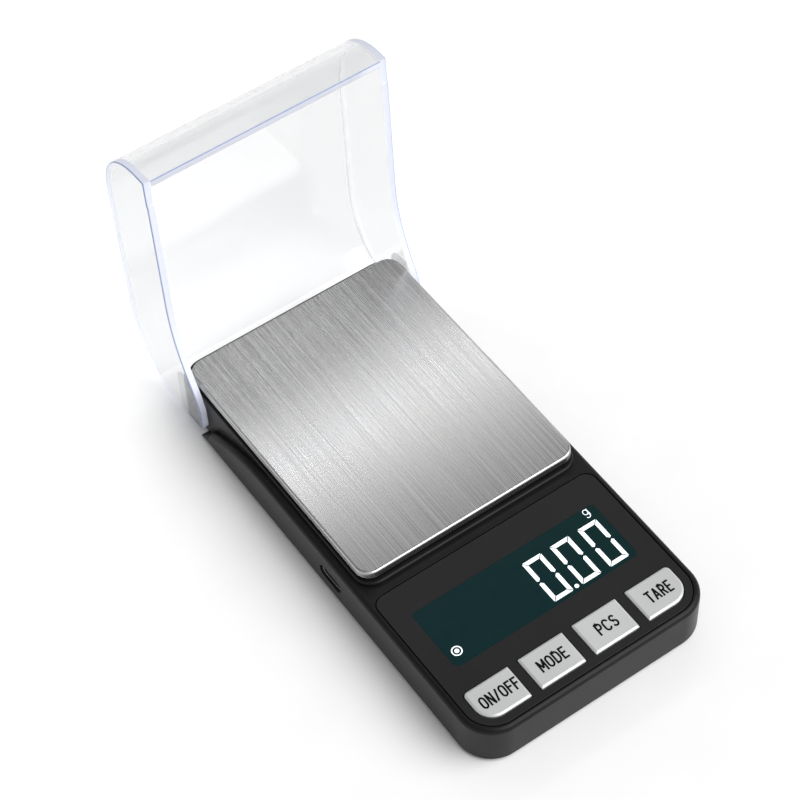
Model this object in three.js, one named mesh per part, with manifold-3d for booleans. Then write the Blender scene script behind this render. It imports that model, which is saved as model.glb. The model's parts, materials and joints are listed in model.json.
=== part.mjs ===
// Digital gram scale with a hinged clear lid, modelled open.
// Millimetres, +Z up, +Y towards the hinge end, +X to the right of someone facing the display.
// The origin is the centre of the case's underside.
import * as THREE from 'three';
import { mergeVertices } from 'three/addons/utils/BufferGeometryUtils.js';
import Module from 'manifold-3d';

const wasm = await Module();
wasm.setup();

// ---- driving dimensions -------------------------------------------------------------------
const gap = 0.3; // clearance between fixed neighbours
const slip = 0.4; // clearance beside and under moving pieces

const caseWidth = 75;
const caseLength = 144.5;
const rimHeight = 13.7;
const rimFillet = 1.5;
const frontCornerRadius = 10;
const rearCornerRadius = 6;
const wall = 1.8;
const deckThickness = 1.5;

const platformWidth = 69.4;
const platformLength = 86.4;
const platformCenterY = 26.1;
const platformTop = 18.9;
const platformCornerRadius = 4.5;
const platformLip = 2.5;
const steelThickness = 0.6;
const platformTravel = 0.4;
const platformFillet = 0.7;

const trayWidth = 70.4; // raised tray under the platform, which the lid's cheeks straddle
const trayTop = 15.3;
const trayFloor = 13.4;
const trayFrontY = -18.35;
const trayCornerRadius = 5.5;
const trayFillet = 0.6;
const trayWall = 2;

const panelWidth = 70.9;
const panelFrontY = -70.4;
const panelRearY = -21.1;
const panelThickness = 0.8;
const panelFrontRadius = 8.2;
const panelRearRadius = 3.3;

const displayWidth = 59;
const displayFrontY = -50.25;
const displayRearY = -30.25;

const keyWidth = 14.1;
const keyPitch = 17.25;
const keyFrontY = -67.95;
const keyRearY = -57.45;
const keyTop = 14.3;
const keyTravel = 0.4;
const keyOuterRadius = 5.4;
const keySmallRadius = 1.4;
const keyFlange = 0.8; // how far a key's flange reaches under the panel's deck, beyond the gap
const keyEdge = 0.25;

const hingeY = 62.95;
const hingeZ = 8.5;
const lidOpenAngle = THREE.MathUtils.degToRad(92.2);
const lidWall = 2;
const stubRadius = 1.6;

const coverThickness = 1.6;
const padThickness = 2.6;
const boardThickness = 1.6;
const mainBoardBottom = 3.8;
const mainBoardRearY = -22.3;
const chargeBoard = { z: [3.1, 4.2], rightX: -18, halfLength: 8, cornerRadius: 0.8 };
const battery = { x: [-31, -9], y: [10, 42], z: [2, 7], cornerRadius: 1.5, edge: 1.2 };
const chip = { x: [-5, 5], y: [-45, -35], bottom: 2.5 };

const beamWidth = 10;
const beamHeight = 5.6;
const beamBottom = 4.4;
const beamFrontY = 3.1;
const beamRearY = 49.1;
const beamEnd = 12.8; // length of the beam clamped at each end
const beamEyeRadius = 2;
const beamEyeOffset = 5; // each eye's distance from the beam's middle

const usbY = -4.55;
const usbZ = 6.1;
const usbWidth = 8.9;
const usbHeight = 3.2;
const usbShell = 0.3;

const caseScrewSpots = [[-31.3, -17.2], [31.3, -17.2], [-27.5, 65.2], [27.5, 65.2]];
const boardScrewSpots = [[-31.2, -24.4], [31.2, -24.4]];
const baseScrewYs = [6.2, 12.8];
const platformScrewYs = [39.4, 46];
const footSpots = [[-28.5, -60.5], [28.5, -60.5], [-23, 52], [23, 52]];
const footRadius = 4.2;
const footHeight = 0.9;
const footSeatDepth = 0.5;

// Screws: shaft and head radii, head height, and length under the head.
const caseScrew = { shaft: 1.1, head: 2.3, headHeight: 1.1, length: 6.6 };
const baseScrew = { shaft: 1.5, head: 2.7, headHeight: 1.1, length: 7.2 };
const boardScrew = { shaft: 0.9, head: 1.7, headHeight: 0.9, length: 5 };
const platformScrew = { shaft: 1.5, head: 2.7, headHeight: 1.4, length: 9.6 };
const seatClearance = 0.05; // between a screw's head and its seat
const coverSeatZ = 1.35;

// ---- solids -------------------------------------------------------------------------------
function solid(geometry) {
  const bare = geometry.index ? geometry.toNonIndexed() : geometry.clone();
  bare.deleteAttribute('normal');
  bare.deleteAttribute('uv');
  const merged = mergeVertices(bare, 1e-4);
  const vertProperties = new Float32Array(merged.attributes.position.array);
  const triVerts = new Uint32Array(merged.index.array);
  return new wasm.Manifold(new wasm.Mesh({ numProp: 3, vertProperties, triVerts }));
}

function toGeometry(manifold) {
  const mesh = manifold.getMesh();
  const geometry = new THREE.BufferGeometry();
  geometry.setAttribute('position', new THREE.BufferAttribute(new Float32Array(mesh.vertProperties), 3));
  geometry.setIndex(new THREE.BufferAttribute(new Uint32Array(mesh.triVerts), 1));
  geometry.computeVertexNormals();
  return geometry;
}

function join(...solids) {
  return solids.reduce((sum, next) => sum.add(next));
}

function cut(base, ...tools) {
  return tools.reduce((left, tool) => left.subtract(tool), base);
}

function box([x0, x1], [y0, y1], [z0, z1]) {
  const geometry = new THREE.BoxGeometry(x1 - x0, y1 - y0, z1 - z0);
  geometry.translate((x0 + x1) / 2, (y0 + y1) / 2, (z0 + z1) / 2);
  return solid(geometry);
}

// An upright cylinder between two heights.
function post(x, y, [z0, z1], radius, sides = 20) {
  const geometry = new THREE.CylinderGeometry(radius, radius, z1 - z0, sides);
  geometry.rotateX(Math.PI / 2);
  geometry.translate(x, y, (z0 + z1) / 2);
  return solid(geometry);
}

// A cylinder along X.
function crossPin([x0, x1], y, z, radius, sides = 20) {
  const geometry = new THREE.CylinderGeometry(radius, radius, x1 - x0, sides);
  geometry.rotateZ(Math.PI / 2);
  geometry.translate((x0 + x1) / 2, y, z);
  return solid(geometry);
}

// A rectangle in plan; radii are front left, front right, rear right, rear left.
function plan([x0, x1], [y0, y1], [fl, fr, rr, rl]) {
  const shape = new THREE.Shape();
  shape.moveTo(x0 + fl, y0);
  shape.lineTo(x1 - fr, y0);
  if (fr) shape.absarc(x1 - fr, y0 + fr, fr, -Math.PI / 2, 0);
  shape.lineTo(x1, y1 - rr);
  if (rr) shape.absarc(x1 - rr, y1 - rr, rr, 0, Math.PI / 2);
  shape.lineTo(x0 + rl, y1);
  if (rl) shape.absarc(x0 + rl, y1 - rl, rl, Math.PI / 2, Math.PI);
  shape.lineTo(x0, y0 + fl);
  if (fl) shape.absarc(x0 + fl, y0 + fl, fl, Math.PI, 1.5 * Math.PI);
  return shape;
}

function centred(width) {
  return [-width / 2, width / 2];
}

function slab(shape, [z0, z1], curveSegments = 4) {
  const geometry = new THREE.ExtrudeGeometry(shape, { depth: z1 - z0, bevelEnabled: false, curveSegments });
  geometry.translate(0, 0, z0);
  return solid(geometry);
}

// A slab whose top edge is rounded by the given radius.
function domedSlab(shape, [z0, z1], fillet, curveSegments = 4, bevelSegments = 3) {
  const geometry = new THREE.ExtrudeGeometry(shape, {
    depth: z1 - z0,
    bevelThickness: fillet,
    bevelSize: fillet,
    bevelOffset: -fillet,
    bevelSegments,
    curveSegments,
  });
  geometry.translate(0, 0, z0 - fillet);
  const reach = 2 * caseLength;
  return cut(solid(geometry), box([-reach, reach], [-reach, reach], [z0 - 3 * fillet - 1, z0]));
}

// A profile drawn in (y, z), extruded along X between two x values.
function sideProfile(shape, [x0, x1], curveSegments = 6) {
  const geometry = new THREE.ExtrudeGeometry(shape, { depth: x1 - x0, bevelEnabled: false, curveSegments });
  const toSide = new THREE.Matrix4().makeBasis(
    new THREE.Vector3(0, 1, 0),
    new THREE.Vector3(0, 0, 1),
    new THREE.Vector3(1, 0, 0),
  );
  geometry.applyMatrix4(toSide);
  geometry.translate(x0, 0, 0);
  return solid(geometry);
}

function cable(points, radius, steps) {
  const path = new THREE.CatmullRomCurve3(points.map((p) => new THREE.Vector3(...p)));
  const section = new THREE.Shape();
  section.absarc(0, 0, radius, 0, 2 * Math.PI);
  const geometry = new THREE.ExtrudeGeometry(section, { steps, extrudePath: path, curveSegments: 4 });
  return solid(geometry);
}

// ---- materials ----------------------------------------------------------------------------
function finish(color, roughness, metalness = 0, extra = {}) {
  return () => new THREE.MeshStandardMaterial({ color, roughness, metalness, ...extra });
}

const blackPlastic = finish(0x2a2a2c, 0.45);
const panelBlack = finish(0x2c2c2e, 0.35);
const silverPlastic = finish(0xc6c8c8, 0.35);
const steel = finish(0xc4c4c4, 0.3, 1);
const clearPlastic = finish(0xe4e8f4, 0.05, 0, { transparent: true, opacity: 0.3 });
const displayGlass = finish(0x17323a, 0.15);
const whitePlastic = finish(0xe8e8e4, 0.5);
const rubber = finish(0x1b1b1b, 0.9);
const boardGreen = finish(0x1f5a34, 0.5);
const aluminium = finish(0xb4b6b8, 0.4, 1);
const zincSteel = finish(0x9a9ca0, 0.35, 1);
const foil = finish(0xb8bcc0, 0.35, 0.6);
const cableGrey = finish(0x555a60, 0.6);
const switchMetal = finish(0xa8aaac, 0.35, 1);

// ---- case ---------------------------------------------------------------------------------
const frontY = -caseLength / 2;
const rearY = caseLength / 2;
const panelFloor = rimHeight - panelThickness - gap;
const panelDeckUnderside = panelFloor - deckThickness;
const trayDeckUnderside = trayFloor - deckThickness;
const wideEndY = 28; // behind this line the inside narrows to the tray's width
const bossRadius = 2.9;
const boardBossRadius = 2.2;
const bossHoleTop = 9.2;
const pinClearance = 0.25;
const carrierStem = { width: 14, y: [platformScrewYs[0] - 3.5, platformScrewYs[1] + 3.5] };
const stemClearance = { side: 2.5, end: 2 };

// The lower edge of the lid's cheek near the hinge, from the ear forward, as (forward, up) of the hinge.
const cheekSweep = [[2, -4.2], [8, -2.4], [13.3, 0.2], [21, 3.1], [29, 4.95], [37, 5.6]];
const cheekEdge = cheekSweep[cheekSweep.length - 1][1];
const earSweepRadius = 8.6;
const pocketFront = 3.4;

function cheekCurve() {
  return new THREE.SplineCurve(cheekSweep.map(([forward, up]) => new THREE.Vector2(forward, up)));
}

// Everything above the side ledge and behind the ear's pocket, as a (y, z) profile.
function ledgeCutProfile() {
  const high = 30;
  const behind = rearY + 10;
  const start = Math.PI + Math.atan2(2.8, 8.1);
  const end = Math.PI + Math.acos(pocketFront / earSweepRadius);
  const shape = new THREE.Shape();
  shape.moveTo(hingeY - pocketFront, -5);
  for (let i = 0; i <= 4; i += 1) {
    const angle = end + ((start - end) * i) / 4;
    shape.lineTo(hingeY + earSweepRadius * Math.cos(angle), hingeZ + earSweepRadius * Math.sin(angle));
  }
  for (const point of cheekCurve().getPoints(20).slice(6)) {
    shape.lineTo(hingeY - point.x, hingeZ + point.y - slip);
  }
  shape.lineTo(hingeY - 37, high);
  shape.lineTo(behind, high);
  shape.lineTo(behind, -5);
  shape.closePath();
  return shape;
}

function caseInside(inset, [z0, zWide], zNarrow) {
  const front = frontCornerRadius - inset;
  const rear = rearCornerRadius - inset;
  const narrow = trayWidth / 2 - inset;
  const wide = slab(
    plan(centred(caseWidth - 2 * inset), [frontY + inset, wideEndY - inset], [front, front, 0.5, 0.5]),
    [z0, zWide],
  );
  const back = slab(plan([-narrow, narrow], [trayFrontY, rearY - inset], [0, 0, rear, rear]), [z0, zNarrow]);
  return wide.add(back);
}

function keySpots() {
  return [
    { name: 'on_off', x: -1.5 * keyPitch, side: -1 },
    { name: 'mode', x: -0.5 * keyPitch, side: 0 },
    { name: 'pcs', x: 0.5 * keyPitch, side: 0 },
    { name: 'tare', x: 1.5 * keyPitch, side: 1 },
  ];
}

// A key's outline, grown on every side; the outer keys follow the case's front corners.
function keyPlan({ x, side }, grow) {
  const radii = [0.3, 0.3, 0.3, 0.3].map((r) => r + grow);
  if (side < 0) {
    radii[0] = keyOuterRadius + grow;
    radii[3] = keySmallRadius + grow;
  }
  if (side > 0) {
    radii[1] = keyOuterRadius + grow;
    radii[2] = keySmallRadius + grow;
  }
  const half = keyWidth / 2 + grow;
  return plan([x - half, x + half], [keyFrontY - grow, keyRearY + grow], radii);
}

function topHousing() {
  const outer = domedSlab(
    plan(centred(caseWidth), [frontY, hingeY], [frontCornerRadius, frontCornerRadius, 2, 2]),
    [0, rimHeight],
    rimFillet,
    5,
  );
  const ledges = [-1, 1].map((side) => {
    const inner = (side * trayWidth) / 2;
    const reach = side * caseWidth;
    return sideProfile(ledgeCutProfile(), [Math.min(inner, reach), Math.max(inner, reach)]);
  });
  const trayRadii = [trayCornerRadius, trayCornerRadius, rearCornerRadius, rearCornerRadius];
  const tray = domedSlab(plan(centred(trayWidth), [trayFrontY, rearY], trayRadii), [0, trayTop], trayFillet, 4, 2);
  const innerRadii = trayRadii.map((r) => r - trayWall);
  const trayRecess = slab(
    plan(centred(trayWidth - 2 * trayWall), [trayFrontY + trayWall, rearY - trayWall], innerRadii),
    [trayFloor, trayTop + 5],
  );
  const panelRecess = slab(
    plan(
      centred(panelWidth + 2 * gap),
      [panelFrontY - gap, panelRearY + gap],
      [panelFrontRadius + gap, panelFrontRadius + gap, panelRearRadius + gap, panelRearRadius + gap],
    ),
    [panelFloor, rimHeight + 5],
  );
  const window = box(centred(displayWidth), [displayFrontY, displayRearY], [0, rimHeight]);
  const keyHoles = keySpots().map((key) => slab(keyPlan(key, 2 * gap), [5, rimHeight], 3));
  const stemHole = box(
    centred(carrierStem.width + 2 * stemClearance.side),
    [carrierStem.y[0] - stemClearance.end, carrierStem.y[1] + stemClearance.end],
    [5, trayTop],
  );
  const usbSlot = sideProfile(usbOutline(usbWidth + 0.5, usbHeight + 0.7), [-caseWidth, -caseWidth / 2 + 2 * wall]);
  const hingeHoles = crossPin(centred(trayWidth + 2), hingeY, hingeZ, stubRadius + pinClearance)
    .subtract(crossPin(centred(trayWidth - 4 * wall), hingeY, hingeZ, 2 * stubRadius));
  const shell = cut(
    join(cut(outer, ...ledges), tray),
    trayRecess,
    panelRecess,
    caseInside(wall, [-5, panelDeckUnderside], trayDeckUnderside),
    window,
    ...keyHoles,
    stemHole,
    usbSlot,
    hingeHoles,
  );
  const bosses = caseScrewSpots.map(([x, y]) =>
    post(x, y, [padThickness + gap, trayDeckUnderside + 0.5], bossRadius, 16)
      .subtract(post(x, y, [0, bossHoleTop], caseScrew.shaft + gap, 12)));
  const boardBosses = boardScrewSpots.map(([x, y]) =>
    post(x, y, [mainBoardBottom + boardThickness + gap, panelDeckUnderside + 0.5], boardBossRadius, 14)
      .subtract(post(x, y, [0, bossHoleTop], boardScrew.shaft + gap, 10)));
  return join(shell, ...bosses, ...boardBosses);
}

const stopRadius = 1.5;
const stopPadTop = 3.2;
const boardPostXs = [-14, 14];
const chargePostX = -20.5;

function bottomCover() {
  const inset = wall + gap;
  const plate = caseInside(inset, [0, coverThickness], coverThickness);
  const pads = caseScrewSpots.map(([x, y]) => post(x, y, [0, padThickness], bossRadius + 0.5, 20));
  const beamPad = box(centred(beamWidth + 3), [beamFrontY, beamFrontY + beamEnd], [0.5, padThickness]);
  const stopPad = post(0, platformScrewYs[1], [0.5, stopPadTop], 2 * stopRadius, 16);
  const boardPosts = boardPostXs.map((x) => post(x, mainBoardRearY - 3, [0.5, mainBoardBottom - gap], 1.6, 12));
  const chargePosts = [-6, 6].map((dy) => post(chargePostX, usbY + dy, [0.5, chargeBoard.z[0] - gap], 1.4, 12));
  const solids = join(plate, ...pads, beamPad, stopPad, ...boardPosts, ...chargePosts);
  const screwSeat = (x, y, { shaft, head }) => [
    post(x, y, [-1, coverSeatZ], head + slip, 20),
    post(x, y, [-1, 5], shaft + gap, 12),
  ];
  const screwHoles = caseScrewSpots.flatMap(([x, y]) => screwSeat(x, y, caseScrew));
  const baseHoles = baseScrewYs.flatMap((y) => screwSeat(0, y, baseScrew));
  const stopHole = post(0, platformScrewYs[1], [-1, 5], stopRadius + gap, 12);
  const footSeats = footSpots.map(([x, y]) => post(x, y, [-1, footSeatDepth], footRadius + gap, 24));
  return cut(solids, ...screwHoles, ...baseHoles, stopHole, ...footSeats);
}

function foot([x, y]) {
  const top = footSeatDepth - gap;
  const chamfer = 0.6;
  const profile = [
    [0, -footHeight],
    [footRadius - chamfer, -footHeight],
    [footRadius, chamfer - footHeight],
    [footRadius, top],
    [0, top],
  ];
  const geometry = new THREE.LatheGeometry(profile.map(([r, z]) => new THREE.Vector2(r, z)), 24);
  geometry.rotateX(Math.PI / 2);
  geometry.translate(x, y, 0);
  return solid(geometry);
}

// A pan-head screw pointing up (+1) or down (-1) from the flat under its head.
function screw(x, y, seatZ, direction, { shaft, head, headHeight, length }) {
  const profile = [
    [0, -headHeight],
    [head * 0.8, -headHeight],
    [head, -headHeight * 0.5],
    [head, 0],
    [shaft, 0],
    [shaft, length - shaft],
    [0, length],
  ];
  const geometry = new THREE.LatheGeometry(profile.map(([r, z]) => new THREE.Vector2(r, z)), 12);
  geometry.rotateX(Math.PI / 2);
  if (direction < 0) geometry.rotateX(Math.PI);
  geometry.translate(x, y, seatZ);
  const top = seatZ - direction * headHeight;
  const slotDepth = headHeight * 0.45;
  const slotReach = [top - slotDepth, top + slotDepth].sort((a, b) => a - b);
  const arm = head * 0.55;
  const width = head * 0.14;
  const cross = join(
    box([x - arm, x + arm], [y - width, y + width], slotReach),
    box([x - width, x + width], [y - arm, y + arm], slotReach),
  );
  return cut(solid(geometry), cross);
}

// ---- panel, display and keys --------------------------------------------------------------
function controlPanel() {
  const radii = [panelFrontRadius, panelFrontRadius, panelRearRadius, panelRearRadius];
  const sheet = slab(
    plan(centred(panelWidth), [panelFrontY, panelRearY], radii),
    [rimHeight - panelThickness, rimHeight],
    5,
  );
  const holes = keySpots().map((key) => slab(keyPlan(key, gap), [panelFloor, keyTop], 3));
  return cut(sheet, ...holes);
}

const flangeThickness = 1.1;

function button(key) {
  const flangeTop = panelDeckUnderside - gap;
  const cap = domedSlab(keyPlan(key, 0), [flangeTop - gap, keyTop], keyEdge, 3, 1);
  const flange = slab(keyPlan(key, keyFlange + gap), [flangeTop - flangeThickness, flangeTop], 3);
  return join(cap, flange);
}

const keyCenterY = (keyFrontY + keyRearY) / 2;
const mainBoardTop = mainBoardBottom + boardThickness;
const switchBottom = mainBoardTop + 0.1;
const switchTop = switchBottom + 3;
const switchHalf = 3;
const switchWellFloor = switchBottom + 1;
const plungerRadius = 1.7;

function tactSwitch({ x }) {
  const body = box(
    [x - switchHalf, x + switchHalf],
    [keyCenterY - switchHalf, keyCenterY + switchHalf],
    [switchBottom, switchTop],
  );
  return body.subtract(post(x, keyCenterY, [switchWellFloor, switchTop + 1], plungerRadius + gap, 16));
}

function switchPlunger({ x }) {
  const top = panelDeckUnderside - gap - flangeThickness - 0.1;
  return post(x, keyCenterY, [switchWellFloor + 2 * keyTravel, top], plungerRadius, 16);
}

const lcd = { x: 32, y0: -52.75, y1: -28.25, z0: 8.9, z1: 10.8 };

function lcdGlass() {
  return box([-lcd.x, lcd.x], [lcd.y0, lcd.y1], [lcd.z0, lcd.z1]);
}

const backlightBottom = 7.1;
// The strip's half length, and its place behind the glass's front edge.
const zebra = { x: 28, front: 0.4, rear: 2.4 };
const frameRim = 1.4;

function lcdBacklight() {
  return box([-lcd.x, lcd.x], [lcd.y0 + zebra.rear + 0.8, lcd.y1], [backlightBottom, lcd.z0 - gap]);
}

function zebraStrip() {
  return box([-zebra.x, zebra.x], [lcd.y0 + zebra.front, lcd.y0 + zebra.rear], [mainBoardTop + 0.1, lcd.z0 - 0.1]);
}

function lcdFrame() {
  const half = lcd.x + gap + frameRim - 0.1;
  const outer = box([-half, half], [lcd.y0 - frameRim, lcd.y1 + frameRim - 0.2], [mainBoardTop + gap, lcd.z1]);
  const pocket = box(
    [-lcd.x - gap, lcd.x + gap],
    [lcd.y0 - gap, lcd.y1 + gap],
    [backlightBottom - 0.4, lcd.z1 + 1],
  );
  const slot = box([-zebra.x - 0.4, zebra.x + 0.4], [lcd.y0, lcd.y0 + zebra.rear + 0.4], [0, backlightBottom + 1]);
  const lightening = [-20.5, 0, 20.5].map((x) => box([x - 8, x + 8], [lcd.y0 + 6, lcd.y1 - 3], [0, 8]));
  return cut(outer, pocket, slot, ...lightening);
}

// ---- boards, power and cables -------------------------------------------------------------
function mainPcb() {
  const front = frontCornerRadius - wall - gap;
  const board = slab(
    plan(centred(caseWidth - 2 * wall - 4 * gap), [frontY + wall + 2 * gap, mainBoardRearY], [front, front, 1, 1]),
    [mainBoardBottom, mainBoardTop],
  );
  const holes = boardScrewSpots.map(([x, y]) => post(x, y, [0, 9], boardScrew.shaft + 2 * gap, 12));
  return cut(board, ...holes);
}

function controllerChip() {
  return domedSlab(plan(chip.x, chip.y, [0.3, 0.3, 0.3, 0.3]), [chip.bottom, mainBoardBottom - 0.1], 0.2, 1, 1);
}

function usbOutline(width, height) {
  const shape = new THREE.Shape();
  const r = height / 2;
  const reach = width / 2 - r;
  shape.absarc(usbY + reach, usbZ, r, -Math.PI / 2, Math.PI / 2);
  shape.absarc(usbY - reach, usbZ, r, Math.PI / 2, 1.5 * Math.PI);
  return shape;
}

const usbMouthX = -caseWidth / 2 + 0.5;
const usbBackX = usbMouthX + 7.3;

function usbSocket() {
  const shell = sideProfile(usbOutline(usbWidth, usbHeight), [usbMouthX, usbBackX]);
  const bore = usbOutline(usbWidth - 2 * usbShell, usbHeight - 2 * usbShell);
  return shell.subtract(sideProfile(bore, [usbMouthX - 1, usbBackX + 1]));
}

function usbTongue() {
  const smaller = 2 * usbShell + 0.5;
  const tongue = { halfWidth: 3.3, halfHeight: 0.35 };
  const block = sideProfile(usbOutline(usbWidth - smaller, usbHeight - smaller), [usbBackX - 1.6, usbBackX]);
  const blade = box(
    [usbMouthX + 1, usbBackX - 1],
    [usbY - tongue.halfWidth, usbY + tongue.halfWidth],
    [usbZ - tongue.halfHeight, usbZ + tongue.halfHeight],
  );
  return join(block, blade);
}

function chargePcb() {
  const left = -caseWidth / 2 + wall + 2 * gap;
  const { z, rightX, halfLength, cornerRadius } = chargeBoard;
  const radii = Array(4).fill(cornerRadius);
  return slab(plan([left, rightX], [usbY - halfLength, usbY + halfLength], radii), z, 2);
}

function batteryCell() {
  return domedSlab(plan(battery.x, battery.y, Array(4).fill(battery.cornerRadius)), battery.z, battery.edge, 2, 2);
}

function gaugeCable() {
  return cable([[6.4, 22, 7.4], [9.5, 15, 6.6], [13, 2, 4.6], [15, -10, 4.6], [15, -18, 6], [15, -25, 6.4]], 0.8, 24);
}

function batteryLead() {
  return cable([[-22, 9.4, 5], [-22.4, 7.4, 5.7], [-23, 5, 5.5], [-23.4, 2.6, 5.1]], 0.6, 10);
}

function linkCable() {
  return cable([[-21, -11, 5.1], [-21, -14, 5.9], [-20.4, -19, 6.3], [-20, -25, 6.3]], 0.7, 14);
}

// ---- weighing cell and platform -----------------------------------------------------------
const carrierTop = platformTop - steelThickness - gap;
const carrierBottom = carrierTop - 1.5;
const carrierSeatZ = carrierTop - 2.1;
const beamTop = beamBottom + beamHeight;

function loadCell() {
  const bar = box(centred(beamWidth), [beamFrontY, beamRearY], [beamBottom, beamTop]);
  const middle = (beamFrontY + beamRearY) / 2;
  const eyeZ = beamBottom + beamHeight / 2;
  const across = centred(beamWidth + 2);
  const eyes = [-1, 1].map((end) => crossPin(across, middle + end * beamEyeOffset, eyeZ, beamEyeRadius, 16));
  const web = box(across, [middle - beamEyeOffset, middle + beamEyeOffset], [eyeZ - 0.8, eyeZ + 0.8]);
  const holes = [...baseScrewYs, ...platformScrewYs].map((y) => post(0, y, [0, 20], baseScrew.shaft + gap, 12));
  return cut(bar, ...eyes, web, ...holes);
}

function loadCellSpacer() {
  const reach = [beamFrontY, beamFrontY + beamEnd];
  const block = box(centred(beamWidth + 1), reach, [padThickness + 0.1, beamBottom - 0.1]);
  const holes = baseScrewYs.map((y) => post(0, y, [0, 9], baseScrew.shaft + gap, 12));
  return cut(block, ...holes);
}

function strainGauge([z0, z1]) {
  const middle = (beamFrontY + beamRearY) / 2;
  return domedSlab(plan([-3.8, 3.8], [middle - 8, middle + 8], [1, 1, 1, 1]), [z0, z1], 0.2, 2, 1);
}

function overloadStop() {
  return post(0, platformScrewYs[1], [0.6, beamBottom - platformTravel - 0.1], stopRadius, 16);
}

function platformCarrier() {
  const inset = steelThickness + gap;
  const corner = platformCornerRadius - inset;
  const sheet = slab(
    plan(
      centred(platformWidth - 2 * inset),
      [platformCenterY - platformLength / 2 + inset, platformCenterY + platformLength / 2 - inset],
      [corner, corner, corner, corner],
    ),
    [carrierBottom, carrierTop],
  );
  const stemFoot = beamTop + platformTravel + 0.1;
  const stem = box(centred(carrierStem.width), carrierStem.y, [stemFoot, carrierBottom + 0.5]);
  const holes = platformScrewYs.flatMap((y) => [
    post(0, y, [0, 30], platformScrew.shaft + gap, 12),
    post(0, y, [carrierSeatZ, 30], platformScrew.head + gap, 20),
  ]);
  return cut(join(sheet, stem), ...holes);
}

function platformPlate() {
  const corners = (inset) => Array(4).fill(platformCornerRadius - inset);
  const y0 = platformCenterY - platformLength / 2;
  const y1 = platformCenterY + platformLength / 2;
  const bottom = platformTop - platformLip;
  const outline = plan(centred(platformWidth), [y0, y1], corners(0));
  const pan = domedSlab(outline, [bottom, platformTop], platformFillet, 4, 3);
  const t = steelThickness;
  const inside = slab(
    plan(centred(platformWidth - 2 * t), [y0 + t, y1 - t], corners(t)),
    [bottom - 1, platformTop - t],
  );
  return cut(pan, inside);
}

// ---- lid ----------------------------------------------------------------------------------
// Profiles are drawn closed, as (forward of the hinge, up from the hinge).
const nose = { forward: 64.5, up: 9, radius: 20 };
const shoulder = { forward: 16.5, up: 1, radius: 28, end: THREE.MathUtils.degToRad(138) };
const earRear = -6.3;
const earTop = 10; // above this the ear curves forward to meet the shoulder
const earBend = 15;
const earCorner = 3;

function lidOutline() {
  const shape = new THREE.Shape();
  shape.moveTo(nose.forward + nose.radius, cheekEdge);
  shape.lineTo(nose.forward + nose.radius, nose.up);
  shape.absarc(nose.forward, nose.up, nose.radius, 0, Math.PI / 2);
  shape.absarc(shoulder.forward, shoulder.up, shoulder.radius, Math.PI / 2, shoulder.end);
  shape.quadraticCurveTo(earRear, earBend, earRear, earTop);
  shape.lineTo(earRear, cheekSweep[0][1] + earCorner);
  shape.absarc(earRear + earCorner, cheekSweep[0][1] + earCorner, earCorner, Math.PI, 1.5 * Math.PI);
  for (const point of cheekCurve().getPoints(20)) {
    shape.lineTo(point.x, point.y);
  }
  shape.closePath();
  return shape;
}

function lidSkinOutline() {
  const shape = new THREE.Shape();
  shape.moveTo(nose.forward + nose.radius, cheekEdge);
  shape.lineTo(nose.forward + nose.radius, nose.up);
  shape.absarc(nose.forward, nose.up, nose.radius, 0, Math.PI / 2);
  shape.absarc(shoulder.forward, shoulder.up, shoulder.radius, Math.PI / 2, shoulder.end);
  shape.absarc(shoulder.forward, shoulder.up, shoulder.radius - lidWall, shoulder.end, Math.PI / 2, true);
  shape.absarc(nose.forward, nose.up, nose.radius - lidWall, Math.PI / 2, 0, true);
  shape.lineTo(nose.forward + nose.radius - lidWall, cheekEdge);
  shape.closePath();
  return shape;
}

function lidSolid() {
  const half = caseWidth / 2;
  const skin = sideProfile(lidSkinOutline(), [-half, half], 5);
  const cheeks = [
    sideProfile(lidOutline(), [-half, lidWall - half], 5),
    sideProfile(lidOutline(), [half - lidWall, half], 5),
  ];
  const stubs = [
    crossPin([lidWall - half - 0.5, -trayWidth / 2 + wall - 0.5], 0, 0, stubRadius),
    crossPin([trayWidth / 2 - wall + 0.5, half - lidWall + 0.5], 0, 0, stubRadius),
  ];
  return join(skin, ...cheeks, ...stubs);
}

// ---- scene --------------------------------------------------------------------------------
const scale = new THREE.Group();

function place(name, manifold, material, parent = scale) {
  const mesh = new THREE.Mesh(toGeometry(manifold), material());
  mesh.name = name;
  parent.add(mesh);
}

place('top_housing', topHousing(), blackPlastic);
place('bottom_cover', bottomCover(), blackPlastic);
footSpots.forEach((spot, i) => place(`foot_${i + 1}`, foot(spot), rubber));
caseScrewSpots.forEach(([x, y], i) => {
  place(`case_screw_${i + 1}`, screw(x, y, coverSeatZ - seatClearance, 1, caseScrew), zincSteel);
});

place('control_panel', controlPanel(), panelBlack);
place('lcd_glass', lcdGlass(), displayGlass);
place('lcd_backlight', lcdBacklight(), whitePlastic);
place('lcd_frame', lcdFrame(), whitePlastic);
place('zebra_strip', zebraStrip(), rubber);
for (const key of keySpots()) {
  place(`button_${key.name}`, button(key), silverPlastic);
  place(`switch_${key.name}`, tactSwitch(key), switchMetal);
  place(`plunger_${key.name}`, switchPlunger(key), blackPlastic);
}

place('main_pcb', mainPcb(), boardGreen);
place('controller_chip', controllerChip(), blackPlastic);
boardScrewSpots.forEach(([x, y], i) => {
  place(`board_screw_${i + 1}`, screw(x, y, mainBoardBottom - seatClearance, 1, boardScrew), zincSteel);
});
place('charge_pcb', chargePcb(), boardGreen);
place('usb_c_socket', usbSocket(), switchMetal);
place('usb_c_tongue', usbTongue(), blackPlastic);
place('battery_cell', batteryCell(), foil);
place('gauge_cable', gaugeCable(), cableGrey);
place('battery_lead', batteryLead(), cableGrey);
place('link_cable', linkCable(), cableGrey);

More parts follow.
